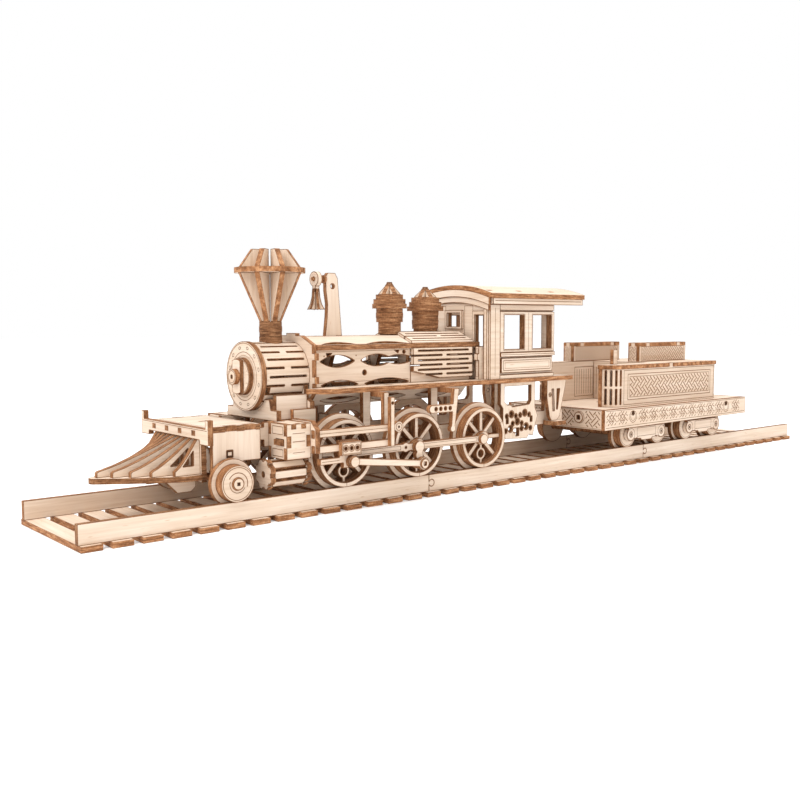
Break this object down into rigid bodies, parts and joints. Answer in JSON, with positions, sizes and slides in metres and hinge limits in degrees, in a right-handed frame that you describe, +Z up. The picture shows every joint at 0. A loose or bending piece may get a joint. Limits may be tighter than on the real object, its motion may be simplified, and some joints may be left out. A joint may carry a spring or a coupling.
{
  "type": "wooden train puzzle model",
  "caption": "Laser-cut plywood 3D puzzle of a steam locomotive with cowcatcher and tender, standing on a length of plank track",
  "frame": {"origin": "centre of the underside of the sleepers, on the ground", "axes": "+X toward the cowcatcher along the track, +Y to the left side of the train, +Z up"},
  "size_m": [0.68, 0.1072, 0.1536],
  "materials": {
    "ply_light": "bare light birch plywood with scorched cut edges",
    "ply_mid": "bare plywood, slightly darker sheet",
    "ply_dark": "plywood seen mostly on its scorched brown cut edges"
  },
  "bodies": {
    "track": {"rail_left": "ply_light", "rail_right": "ply_light", "sleepers": "ply_mid"},
    "driver_front": {"driver_front": "ply_light"},
    "driver_middle": {"driver_middle": "ply_light"},
    "driver_rear": {"driver_rear": "ply_light"},
    "pilot_axle": {"pilot_wheels": "ply_light"},
    "coupling_rod_left": {"coupling_rod_left": "ply_light"},
    "coupling_rod_right": {"coupling_rod_right": "ply_light"},
    "main_rod_left": {"main_rod_left": "ply_light"},
    "main_rod_right": {"main_rod_right": "ply_light"},
    "crosshead_left": {"crosshead_left": "ply_light"},
    "crosshead_right": {"crosshead_right": "ply_light"},
    "bell": {"bell": "ply_mid"},
    "tender": {"tender_deck": "ply_light", "tender_boards": "ply_light", "tender_tanks": "ply_light", "bunker_boxes": "ply_light"},
    "bogie_front": {"bogie_front": "ply_light"},
    "bogie_rear": {"bogie_rear": "ply_light"},
    "tender_axle_1": {"tender_axle_1": "ply_light"},
    "tender_axle_2": {"tender_axle_2": "ply_light"},
    "tender_axle_3": {"tender_axle_3": "ply_light"},
    "tender_axle_4": {"tender_axle_4": "ply_light"},
    "locomotive": {"cowcatcher_base": "ply_mid", "cowcatcher_fins": "ply_light", "pilot_deck": "ply_light", "pilot_side_plates": "ply_light", "buffer_beam": "ply_light", "main_frames": "ply_light", "steam_chests": "ply_light", "cylinders": "ply_light", "guide_bars": "ply_light", "motion_brackets": "ply_light", "saddle": "ply_light", "smokebox_ring": "ply_light", "smokebox_door": "ply_light", "door_handle": "ply_dark", "smokebox_wrap": "ply_light", "boiler_formers": "ply_mid", "boiler_top_panels": "ply_light", "boiler_side_panels": "ply_light", "boiler_ridges": "ply_dark", "boiler_lower_panels": "ply_light", "firebox_wrap": "ply_light", "chimney_neck": "ply_dark", "chimney_fins": "ply_light", "bell_bracket": "ply_light", "sand_dome": "ply_light", "steam_dome": "ply_light", "running_boards": "ply_light", "cab_end_walls": "ply_light", "cab_sides": "ply_light", "cab_roof": "ply_light", "cab_mouldings": "ply_mid", "under_cab_plates": "ply_light", "cab_steps": "ply_light"}
  },
  "joints": [
    {"name": "locomotive_roll", "type": "slide", "parent": "track", "child": "locomotive", "axis": [1, 0, 0], "range_m": [0, 0.0314]},
    {"name": "tender_roll", "type": "slide", "parent": "track", "child": "tender", "axis": [1, 0, 0], "range_m": [0, 0.0314]},
    {"name": "driver_front_spin", "type": "hinge", "parent": "locomotive", "child": "driver_front", "pos_m": [0.1796, 0, 0.0338], "axis": [0, 1, 0], "range_deg": [0, 90]},
    {"name": "driver_middle_spin", "type": "hinge", "parent": "locomotive", "child": "driver_middle", "pos_m": [0.1227, 0, 0.0338], "axis": [0, 1, 0], "range_deg": [0, 90]},
    {"name": "driver_rear_spin", "type": "hinge", "parent": "locomotive", "child": "driver_rear", "pos_m": [0.0658, 0, 0.0338], "axis": [0, 1, 0], "range_deg": [0, 90]},
    {"name": "pilot_axle_spin", "type": "hinge", "parent": "locomotive", "child": "pilot_axle", "pos_m": [0.2525, 0, 0.0238], "axis": [0, 1, 0], "range_deg": [0, 180]},
    {"name": "coupling_rod_left_pin", "type": "hinge", "parent": "driver_middle", "child": "coupling_rod_left", "pos_m": [0.1282, 0.0439, 0.0338], "axis": [0, 1, 0], "range_deg": [-90, 0]},
    {"name": "crosshead_left_slide", "type": "slide", "parent": "locomotive", "child": "crosshead_left", "axis": [1, 0, 0], "range_m": [-0.01486, 0]},
    {"name": "main_rod_left_pin", "type": "hinge", "parent": "crosshead_left", "child": "main_rod_left", "pos_m": [0.1819, 0.0507, 0.0301], "axis": [0, 1, 0], "range_deg": [0, 5.1]},
    {"name": "coupling_rod_right_pin", "type": "hinge", "parent": "driver_middle", "child": "coupling_rod_right", "pos_m": [0.1282, -0.0439, 0.0338], "axis": [0, 1, 0], "range_deg": [-90, 0]},
    {"name": "crosshead_right_slide", "type": "slide", "parent": "locomotive", "child": "crosshead_right", "axis": [1, 0, 0], "range_m": [-0.01486, 0]},
    {"name": "main_rod_right_pin", "type": "hinge", "parent": "crosshead_right", "child": "main_rod_right", "pos_m": [0.1819, -0.0507, 0.0301], "axis": [0, 1, 0], "range_deg": [0, 5.1]},
    {"name": "bell_swing", "type": "hinge", "parent": "locomotive", "child": "bell", "pos_m": [0.1712, 0, 0.1372], "axis": [1, 0, 0], "range_deg": [-20, 20]},
    {"name": "bogie_front_turn", "type": "hinge", "parent": "tender", "child": "bogie_front", "pos_m": [-0.1102, 0, 0.0435], "axis": [0, 0, 1], "range_deg": [-2, 2]},
    {"name": "tender_axle_1_spin", "type": "hinge", "parent": "bogie_front", "child": "tender_axle_1", "pos_m": [-0.0905, 0, 0.0238], "axis": [0, 1, 0], "range_deg": [0, 180]},
    {"name": "tender_axle_2_spin", "type": "hinge", "parent": "bogie_front", "child": "tender_axle_2", "pos_m": [-0.1299, 0, 0.0238], "axis": [0, 1, 0], "range_deg": [0, 180]},
    {"name": "bogie_rear_turn", "type": "hinge", "parent": "tender", "child": "bogie_rear", "pos_m": [-0.1892, 0, 0.0435], "axis": [0, 0, 1], "range_deg": [-2, 2]},
    {"name": "tender_axle_3_spin", "type": "hinge", "parent": "bogie_rear", "child": "tender_axle_3", "pos_m": [-0.1695, 0, 0.0238], "axis": [0, 1, 0], "range_deg": [0, 180]},
    {"name": "tender_axle_4_spin", "type": "hinge", "parent": "bogie_rear", "child": "tender_axle_4", "pos_m": [-0.2089, 0, 0.0238], "axis": [0, 1, 0], "range_deg": [0, 180]}
  ],
  "couplings": [
    {"joint": "tender_roll", "follows": "locomotive_roll", "ratio": 1},
    {"joint": "driver_front_spin", "follows": "locomotive_roll", "rad_per_m": 50},
    {"joint": "driver_middle_spin", "follows": "locomotive_roll", "rad_per_m": 50},
    {"joint": "driver_rear_spin", "follows": "locomotive_roll", "rad_per_m": 50},
    {"joint": "pilot_axle_spin", "follows": "locomotive_roll", "rad_per_m": 100},
    {"joint": "coupling_rod_left_pin", "follows": "locomotive_roll", "rad_per_m": -50},
    {"joint": "crosshead_left_slide", "follows": "locomotive_roll", "ratio": -0.47283},
    {"joint": "main_rod_left_pin", "follows": "locomotive_roll", "rad_per_m": 2.8183},
    {"joint": "coupling_rod_right_pin", "follows": "locomotive_roll", "rad_per_m": -50},
    {"joint": "crosshead_right_slide", "follows": "locomotive_roll", "ratio": -0.47283},
    {"joint": "main_rod_right_pin", "follows": "locomotive_roll", "rad_per_m": 2.8183},
    {"joint": "tender_axle_1_spin", "follows": "locomotive_roll", "rad_per_m": 100},
    {"joint": "tender_axle_2_spin", "follows": "locomotive_roll", "rad_per_m": 100},
    {"joint": "tender_axle_3_spin", "follows": "locomotive_roll", "rad_per_m": 100},
    {"joint": "tender_axle_4_spin", "follows": "locomotive_roll", "rad_per_m": 100}
  ]
}
